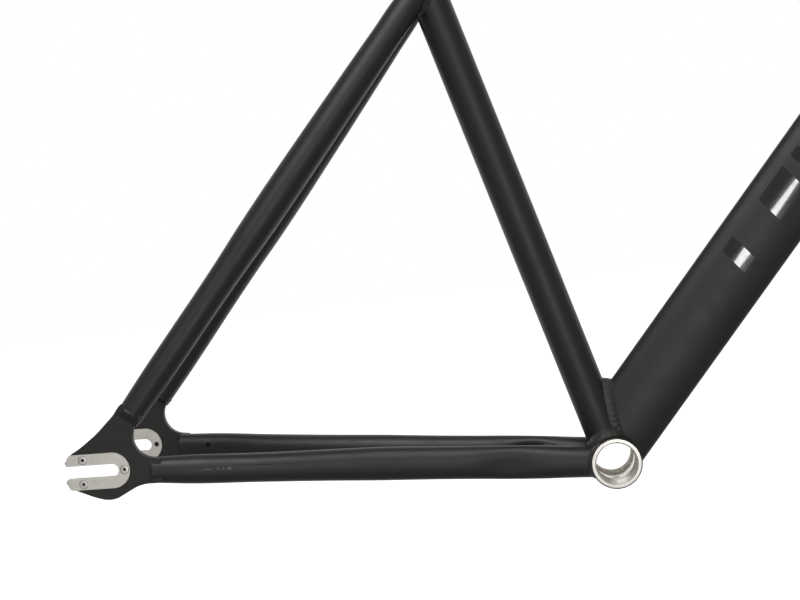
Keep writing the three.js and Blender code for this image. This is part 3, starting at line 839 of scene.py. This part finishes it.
def make_head_tube():
    edge, end, middle = 0.6, HEAD_LENGTH, HEAD_LENGTH / 2
    height = np.linspace(edge, end - edge, 40)
    flare = smooth([0, 14, middle - 20, middle, middle + 20, end - 14, end],
                   [HEAD_RADIUS] * 2 + [HEAD_WAIST_RADIUS] * 3 + [HEAD_RADIUS] * 2, height)
    profile = [(HEADSET_RADIUS + edge, 0), (HEAD_RADIUS - edge, 0), *zip(flare, height)]
    profile += [
        (HEAD_RADIUS - edge, end), (HEADSET_RADIUS + edge, end), (HEADSET_RADIUS, end - edge),
        (HEADSET_RADIUS, end - HEADSET_DEPTH + 2.4), (STEERER_ROOM_RADIUS, end - HEADSET_DEPTH),
        (STEERER_ROOM_RADIUS, HEADSET_DEPTH), (HEADSET_RADIUS, HEADSET_DEPTH - 2.4), (HEADSET_RADIUS, edge),
    ]
    rings = place_rings(turned_rings(profile, 128), HEAD_FOOT, HEAD_DIRECTION)
    made = loft("head_tube_painted", rings, closed=True)
    finish_piece(made, PAINT, MACHINED, nodes=["head_tube"], crease=30)
    for face in made.data.polygons:
        offset = np.array(face.center) / MM - HEAD_FOOT
        along = offset @ HEAD_DIRECTION
        radius = np.linalg.norm(offset - along * HEAD_DIRECTION)
        near_end = min(along, end - along) < HEADSET_DEPTH
        face.material_index = int(near_end and radius < HEADSET_RADIUS + edge * 0.8)


# ---------- stays and bridges
def dimple(made, back, facing, rise, length, height, depth):
    """Presses in one face of a chainstay, round a point that far behind the shell and above the axis."""
    middle = np.array([-back, back * STAY_DROP + rise])
    backs, outs, _, _ = zip(*CHAINSTAY_ROWS)
    points = np.array([vertex.co for vertex in made.data.vertices]) / MM
    away = (points[:, [0, 2]] - middle) / (length, height)
    past_axis = facing * (points[:, 1] - math.copysign(np.interp(back, backs, outs), points[:, 1].mean()))
    press = depth * np.exp(-(away**2).sum(axis=1)) * np.clip(past_axis / 4, 0, 1)
    points[:, 1] -= facing * press
    made.data.vertices.foreach_set("co", (points * MM).ravel())


def make_chainstay(name, side):
    made = tube_object(f"chainstay_{name}_painted", chainstays[name])
    if name == "right":
        dimple(made, CHAINRING_DIMPLE_BACK, side, rise=-3, length=23, height=12, depth=3.0)
    dimple(made, TYRE_DIMPLE_BACK, -side, rise=4, length=16, height=6, depth=3.0)
    vent_height = VENT_BACK * STAY_DROP + 3
    vent = bar((-VENT_BACK, side * 30, vent_height), (-VENT_BACK, side * 52, vent_height), VENT_RADIUS, 24)
    finish_tube(made, f"chainstay_{name}", shell_cutter(), seat_cutter(), vent)


def make_seatstay(name):
    made = tube_object(f"seatstay_{name}_painted", seatstays[name], round_end=3.0)
    finish_tube(made, f"seatstay_{name}", seat_cutter())


def bridge_tube(name):
    if name == "chainstay":
        end = np.array([-CHAINSTAY_BRIDGE_BACK, 25, CHAINSTAY_BRIDGE_BACK * STAY_DROP])
        return straight(end * (1, -1, 1), end, BRIDGE_RADIUS, step=1.0)
    along = np.array([SEATSTAY_BRIDGE_ALONG + SEATSTAY_LAP])
    ends = [seatstays[side].section(along)[0][0] for side, _ in SIDES]
    return straight(*ends, BRIDGE_RADIUS, step=1.0)


def make_bridge(name, stays):
    tube = bridge_tube(name)
    made = tube_object(f"{name}_bridge_painted", tube, 64)
    finish_piece(made, PAINT, nodes=[f"{name}_bridge"])
    middle = tube.length / 2
    for side, start in (("right", 0), ("left", middle)):
        tube_weld(f"weld_{name}_bridge_{side}", tube, stays[side].clearance, start, start + middle, width=4.2,
                  step=0.3)


# ---------- track ends
def from_slot(along, up):
    """A side-view point, from distances along the slot towards its open end and square to it."""
    slot, rise = in_plane(180 - SLOT_TILT), in_plane(90 - SLOT_TILT)
    return (SLOT_END[0] + along * slot[0] + up * rise[0], SLOT_END[1] + along * slot[2] + up * rise[2])


def arc(centre, radius, start, end, count=24):
    angles = np.radians(np.linspace(start, end, count))
    return [(centre[0] + radius * math.cos(a), centre[1] + radius * math.sin(a)) for a in angles]


def rounded(points, radius, steps=6):
    """An open line of points whose inner corners are rounded by about that radius."""
    points = np.asarray(points, float)
    line = [tuple(points[0])]
    for before, corner, after in zip(points[:-2], points[1:-1], points[2:]):
        reach = min(radius, 0.45 * np.linalg.norm(before - corner), 0.45 * np.linalg.norm(after - corner))
        start = corner + unit(before - corner) * reach
        end = corner + unit(after - corner) * reach
        for t in np.linspace(0, 1, steps):
            line.append(tuple((1 - t) ** 2 * start + 2 * t * (1 - t) * corner + t**2 * end))
    line.append(tuple(points[-1]))
    return line


def slot_end(half):
    """A half circle round the slot's closed end, from its upper side to its lower one."""
    return arc(SLOT_END, half, 90 - SLOT_TILT, -90 - SLOT_TILT)


def insert_outline(grow=0.0):
    outer, inner, opening = INSERT_HALF_HEIGHT + grow, SLOT_HALF_WIDTH - grow, SLOT_LENGTH + grow

    def rear(side):
        corners = ((opening, inner), (opening, inner + 4), (opening - 2.6, outer), (opening - 14, outer))
        return rounded([from_slot(along, side * up) for along, up in corners], 4.5)
    return rear(1)[:-1] + slot_end(outer) + rear(-1)[::-1][1:] + slot_end(inner)[::-1]


FRONT_ARC = ((-376.6, 73.8), 18.1, 258, 140)  # the hollow between the stays: centre, radius, angles


def dropout_outline():
    """From the seatstay over the slot's mouth and under the chainstay, then back up between the stays."""
    half, opening = SLOT_HALF_WIDTH + 0.6, SLOT_LENGTH + 0.8
    upper = rounded([
        (-386, 98.5), (-399.6, 104.6), (-404.8, 99.2), (-408, 95), (-424.7, 80.6), (-440.3, 70.4),
        (-449.2, 66.2), from_slot(opening, half + 2.6), from_slot(opening, half),
    ], 5)
    lower = rounded([
        from_slot(opening, -half), from_slot(opening, -half - 2.6), (-449.4, 37.2), (-432.3, 28.6),
        (-422.8, 25.3), (-414.6, 25.3), (-395.5, 34), (-388, 35.2), (-374, 34.4), (-374, 55),
    ], 5)
    return upper[:-1] + slot_end(half) + lower[1:] + arc(*FRONT_ARC) + [(-385, 91)]


def make_dropout(name, side):
    low, high = sorted((side * DROPOUT_INSIDE, side * DROPOUT_OUTSIDE))
    made = prism(f"dropout_{name}_painted", dropout_outline(), low, high)
    bevel(made, 0.8, 3, 50)
    floor = INSERT_THICKNESS + 0.15
    recess = insert_outline(0.2)
    cut(made, prism("cutter", recess, low - 1, low + floor), prism("cutter", recess, high - floor, high + 1))
    finish_piece(made, PAINT, nodes=[f"dropout_{name}"], flat=True)


def make_insert(name, side, place):
    if place == "outer":
        face, back, radius = DROPOUT_OUTSIDE, DROPOUT_OUTSIDE - INSERT_THICKNESS, SCREW_HEAD_RADIUS + 0.3
    else:
        face, back, radius = DROPOUT_INSIDE, DROPOUT_INSIDE + INSERT_THICKNESS, SCREW_SHANK_RADIUS + 0.3
    made = prism(f"insert_{place}_{name}_plate", insert_outline(), *sorted((side * back, side * face)))
    for _, along, up in SCREW_PLACES:
        x, z = from_slot(along, up)
        cut(made, bar((x, side * 50, z), (x, side * 80, z), radius, 48))
    bevel(made, 0.22, 2, 50)
    finish_piece(made, STEEL, nodes=[f"insert_{place}_{name}"], slot="stainless_steel", flat=True)


def hexagon(angle, across_flats):
    """The radius of a hexagon at each angle."""
    sector = math.pi / 3
    return across_flats / 2 / np.cos((angle + sector / 2) % sector - sector / 2)


def socket_rings(radius, height, chamfer, shank_radius, length, socket, depth):
    """Rings of a socket screw along +Z, from its shank's end to the bottom of its hexagon."""
    sides = 60
    hexagonal = hexagon(around(sides), socket)
    return turned_rings([
        (0.2, -length), (shank_radius * 0.8, -length), (shank_radius, -length + 0.6), (shank_radius, 0),
        (radius * 0.97, 0), (radius, 0.15), (radius, height - chamfer),
        (radius - 0.3 * chamfer, height - 0.3 * chamfer), (radius - chamfer, height), (0.62 * radius, height),
        (hexagonal + 0.25, height), (hexagonal, height - 0.25), (hexagonal, height - depth),
        (hexagonal * 0.1, height - depth - 0.3),
    ], sides)


def make_insert_screw(name, side, place, along, up):
    x, z = from_slot(along, up)
    height = INSERT_THICKNESS - 0.25
    rings = socket_rings(SCREW_HEAD_RADIUS, height, chamfer=0.15, shank_radius=SCREW_SHANK_RADIUS,
                         length=SCREW_LENGTH, socket=2.4, depth=0.9)
    base = side * (DROPOUT_OUTSIDE - 0.05 - height)
    made = loft(f"insert_screw_{place}_{name}_socket", place_rings(rings, (x, base, z), (0, side, 0)))
    finish_piece(made, STEEL, BLACK_ANODISED_AND_SOCKET_SHADE, nodes=[f"insert_screw_{place}_{name}"], slot="stainless_steel",
                 flat=True)
    # The socket's walls and bottom take the dark anodised finish: painted shade in the recess.
    for face in made.data.polygons:
        centre = np.array(face.center) / MM
        inside = math.hypot(centre[0] - x, centre[2] - z) < 1.5
        face.material_index = int(inside and side * (centre[1] - base) < height - 0.2)


def end_cap(stay, name, tube, index, reach, bead):
    """The bead and the flattened cap that close a stay's end down to the plate's thickness.

    index is the end's row in the tube, reach the cap's length and bead the bead's height.
    """
    angle = around(200)
    outward = tube.along[index] * (1 if index else -1)
    ripples = round(2 * math.pi * tube.high[index] / BEAD_PITCH)
    scallop = np.abs(np.sin(angle / 2 * ripples)) ** BEAD_POWER
    middle = dict(SIDES)[name] * (DROPOUT_INSIDE + DROPOUT_OUTSIDE) / 2
    half_plate = (DROPOUT_OUTSIDE - DROPOUT_INSIDE) / 2 + 0.3
    rings = []
    for t in np.linspace(-0.25, 1, 26):
        ease = max(t, 0) ** 1.6
        lip = bead * math.exp(-((t - 0.12) / 0.16) ** 2) * (0.4 + scallop)
        if t < -0.2:
            lip -= 0.6
        high = tube.high[index] * (1 - 0.05 * ease) + lip
        wide = tube.wide[index] * (1 - ease) + half_plate * ease + lip
        up, out = superellipse(angle, tube.square + 2.5 * ease, high, wide)
        centre = tube.centres[index] + outward * reach * t
        centre = centre + Y_AXIS * (middle - centre[1]) * ease
        rings.append(centre + up[:, None] * tube.upright[index] + out[:, None] * tube.across[index])
    node = f"weld_dropout_{stay}_{name}"
    finish_piece(loft(f"{node}_bead", rings), PAINT, nodes=[node], crease=50)


# ---------- seat collar
def make_collar():
    """A ring with two ears at the rear, slit between them, and the bolt through the ears."""
    slit, ear = 1.3, 6  # half the slit's width, and an ear's thickness
    outer, inner = COLLAR_RADIUS, SEAT_TUBE_RADIUS + 0.1
    start = math.degrees(math.asin((ear + slit) / outer))
    reach = CLAMP_AT + 5
    root = outer * math.cos(math.radians(start)) - 1
    ears = rounded([(root, ear + slit), (reach, ear + slit), (reach, slit), (inner, slit)], 2.2)
    opening = math.degrees(math.asin(slit / inner))
    lower = [(x, -y) for x, y in reversed(ears)]
    outline = arc((0, 0), outer, 360 - start, start, 90)
    outline = np.array(outline + ears[1:-1] + arc((0, 0), inner, opening, 360 - opening, 90) + lower[1:-1])
    foot = on_seat(COLLAR_AT)
    rings = [foot + SEAT_DIRECTION * z + outline[:, :1] * SEAT_REARWARD - outline[:, 1:] * Y_AXIS
             for z in (0, COLLAR_HEIGHT)]
    made = loft("seat_collar_ring", rings)
    bolt_at = foot + SEAT_DIRECTION * COLLAR_HEIGHT / 2 + SEAT_REARWARD * CLAMP_AT
    cut(made, bar(bolt_at - Y_AXIS * 15, bolt_at + Y_AXIS * 15, 2.8, 48))
    bevel(made, 0.6, 3, 50)
    finish_piece(made, BLACK_ANODISED_AND_SOCKET_SHADE, nodes=["seat_collar"], slot="black_anodised", body="seat_collar", flat=True)
    rings = socket_rings(radius=4.3, height=4.6, chamfer=0.6, shank_radius=2.5, length=14.6, socket=4.0,
                         depth=2.4)
    made = loft("clamp_bolt_socket", place_rings(rings, bolt_at + Y_AXIS * (ear + slit + 0.2), Y_AXIS))
    finish_piece(made, SCREW_STEEL, nodes=["clamp_bolt"], slot="stainless_steel", body="clamp_bolt")


# ---------- gloss graphics
FILM_THICKNESS = 0.09
FILM_SINK = 0.05


def patch(name, tube, start, length, middle, half, lean=0.0):
    """A thin film on a tube, over a length of it and half of an angle to each side of the middle one."""
    rows = max(2, int(length / 2))
    columns = 40
    turn = np.radians(np.linspace(middle - half, middle + half, columns))
    along = np.linspace(start, start + length, rows)[:, None] + lean * np.linspace(-0.5, 0.5, columns)
    outside = tube.at(along, turn, FILM_THICKNESS)
    inside = tube.at(along, turn, -FILM_SINK)[:, ::-1]
    made = loft(name, np.concatenate([outside, inside], axis=1))
    finish_piece(made, GLOSS, nodes=[], crease=50)


# Rows: distance along the tube, and length.
DOWN_TUBE_BANDS = ((188, 15), (240, 34), (285, 10))
CHAINSTAY_DASHES = ((322.5, 3), (328.5, 1.5), (333, 1.5), (339, 5), (345, 2))
CHAINSTAY_LINE = (269, 49)


def make_graphics():
    """Bands and marks with no lettering, on both sides, where the frame has its graphics."""
    for name, side in SIDES:
        middle = 90 * side
        for index, (start, length) in enumerate(DOWN_TUBE_BANDS, 1):
            patch(f"down_tube_band_{index}_{name}", down, start, length, middle, 37.5, lean=7 * side)
        stay = chainstays[name]
        for index, (start, length) in enumerate(CHAINSTAY_DASHES, 1):
            patch(f"chainstay_dash_{index}_{name}", stay, start, length, middle - 6 * side, 4)
        patch(f"chainstay_line_{name}", stay, *CHAINSTAY_LINE, middle - 16 * side, 1.2)


# ---------- assembly
def build_frame():
    make_shell()
    make_seat_tube()
    make_down_tube()
    make_top_tube()
    make_head_tube()
    for name, side in SIDES:
        make_chainstay(name, side)
        make_seatstay(name)
        make_dropout(name, side)
        for place in ("outer", "inner"):
            make_insert(name, side, place)
        for place, along, up in SCREW_PLACES:
            make_insert_screw(name, side, place, along, up)
    make_bridge("chainstay", chainstays)
    make_bridge("seatstay", seatstays)
    make_collar()
    make_graphics()


def build_welds():
    """Every bead but the bridges'. Numbers after the trunk bound the search along the branch tube."""
    tube_weld("weld_shell_seat_tube", seat, shell.clearance, 0, 60, width=9.5, ripple=0.5)
    split_weld(down, [
        ("weld_shell_down_tube", shell, 10.0, 0.5),
        ("weld_seat_down_tube", seat, 8.5, 0.8),
    ], 0, 120)
    middle = top.length / 2
    for node, tube, trunk, start, end in (
        ("weld_seat_top_tube", top, seat, 0, middle),
        ("weld_head_top_tube", top, head, middle, top.length),
        ("weld_head_down_tube", down, head, down.length - 160, down.length),
    ):
        tube_weld(node, tube, trunk.clearance, start, end, width=7.0)
    for name, _ in SIDES:
        stay, upper = chainstays[name], seatstays[name]
        tube_weld(f"weld_shell_chainstay_{name}", stay, joined(shell, seat), 0, 60, width=4.0, ripple=0.2)
        tube_weld(f"weld_seat_tube_seatstay_{name}", upper, seat.clearance, 330, upper.length, width=5.0,
                  ripple=0.3)
        end_cap("chainstay", name, stay, -1, reach=2.6, bead=0.05)
        end_cap("seatstay", name, upper, 0, reach=6.5, bead=0.4)


# ---------- stage, lights and camera, in metres and watts
def make_floor():
    size, height = 9.0, -0.42
    mesh = bpy.data.meshes.new("floor")
    corners = [(-size, -size, height), (size, -size, height), (size, size, height), (-size, size, height)]
    mesh.from_pydata(corners, [], [(0, 1, 2, 3)])
    floor = add_object("floor", mesh)
    shader = Shader("pale_floor", Roughness=0.9, Emission_Color=(1, 1, 1, 1), Emission_Strength=0.7)
    shader.colours(shader.noise(3), (0.80, 0.80, 0.80), (0.84, 0.84, 0.84))
    mesh.materials.append(shader.material)
    floor.visible_diffuse = False
    floor.visible_glossy = False


def area_light(name, place, size, power):
    """A light that faces the middle of the frame."""
    light = bpy.data.lights.new(name, "AREA")
    light.shape = "RECTANGLE"
    light.size, light.size_y = size
    light.energy = power
    forward = unit(np.subtract(FRAME_MIDDLE, place))
    right = unit(np.cross(forward, (0, 0, 1)))
    up = np.cross(right, forward)
    turn = Matrix([(r, u, -f) for r, u, f in zip(right, up, forward)])
    add_object(name, light).matrix_world = Matrix.LocRotScale(place, turn.to_quaternion(), None)


FRAME_MIDDLE = (0, 0, 0.2)
BACKDROP_LIGHT, ROOM_LIGHT = 1.0, 0.28


def make_world():
    """A white backdrop all round for the camera; what it lights comes mostly from behind the frame."""
    world = bpy.data.worlds.new("studio")
    world.use_nodes = True
    nodes, links = world.node_tree.nodes, world.node_tree.links
    place = nodes.new("ShaderNodeTexCoord")
    parts = nodes.new("ShaderNodeSeparateXYZ")
    links.new(place.outputs["Generated"], parts.inputs["Vector"])
    ramp = nodes.new("ShaderNodeMapRange")
    ramp.interpolation_type = "SMOOTHSTEP"
    for label, value in (("From Min", 0.1), ("From Max", 0.75), ("To Min", ROOM_LIGHT),
                         ("To Max", BACKDROP_LIGHT)):
        ramp.inputs[label].default_value = value
    links.new(parts.outputs["Y"], ramp.inputs["Value"])
    strength = nodes.new("ShaderNodeMath")
    strength.operation = "MAXIMUM"
    links.new(ramp.outputs["Result"], strength.inputs[0])
    links.new(nodes.new("ShaderNodeLightPath").outputs["Is Camera Ray"], strength.inputs[1])
    background = nodes["Background"]
    background.inputs["Color"].default_value = (1, 1, 1, 1)
    links.new(strength.outputs["Value"], background.inputs["Strength"])
    bpy.context.scene.world = world


def make_lights():
    area_light("front", (0.6, -4.1, 0.1), (0.6, 0.6), 15)
    area_light("low", (0.0, -4.2, -0.75), (2.6, 1.1), 8)
    area_light("overhead", (-0.4, -2.7, 2.9), (2.4, 1.8), 85)


CAMERA_PLACE = (-0.0769, -1.3336, 0.2443)
CAMERA_YAW, CAMERA_PITCH, CAMERA_ROLL = 3.756, -3.783, -7.367
CAMERA_LENS = 70.46


def make_camera():
    camera = bpy.data.cameras.new("camera")
    camera.lens = CAMERA_LENS
    camera.sensor_width = 36
    camera.clip_start = 0.05
    made = add_object("camera", camera)
    turn = (
        Matrix.Rotation(math.radians(CAMERA_YAW), 4, "Z")
        @ Matrix.Rotation(math.radians(90 + CAMERA_PITCH), 4, "X")
        @ Matrix.Rotation(math.radians(CAMERA_ROLL), 4, "Z")
    )
    made.matrix_world = Matrix.Translation(CAMERA_PLACE) @ turn
    bpy.context.scene.camera = made


make_camera()
make_floor()
make_world()
make_lights()
build_frame()
build_welds()
bpy.context.scene.view_settings.view_transform = "Standard"
